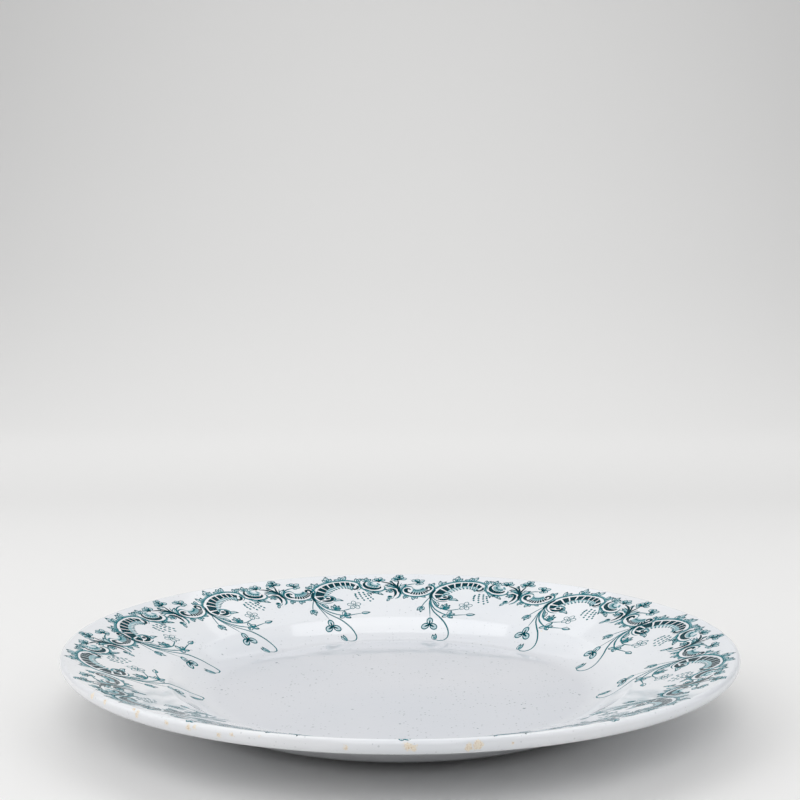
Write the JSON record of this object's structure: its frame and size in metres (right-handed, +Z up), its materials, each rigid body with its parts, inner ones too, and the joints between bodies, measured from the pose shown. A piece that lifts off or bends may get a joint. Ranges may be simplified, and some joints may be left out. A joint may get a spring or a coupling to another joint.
{
  "type": "round serving dish",
  "caption": "Round glazed earthenware serving dish with a broad sloping flange, curved wall, flat well and low bare foot ring, for laying food out on a table.",
  "frame": {"origin": "centre of the foot ring on the table plane", "axes": "+Z up along the dish's axis; the dish is round, so X and Y are any two level directions, with -Y toward the viewer of the picture"},
  "size_m": [0.3, 0.3, 0.03],
  "materials": {
    "biscuit_clay": "bare fired earthenware, matt",
    "white_glaze": "clear lead glaze over white slip, glossy",
    "base_glaze": "clear glaze pooled inside the foot ring, glossy"
  },
  "bodies": {
    "root": {"clay_body": "biscuit_clay", "glaze_coat": "white_glaze", "base_glaze": "base_glaze"}
  },
  "joints": []
}
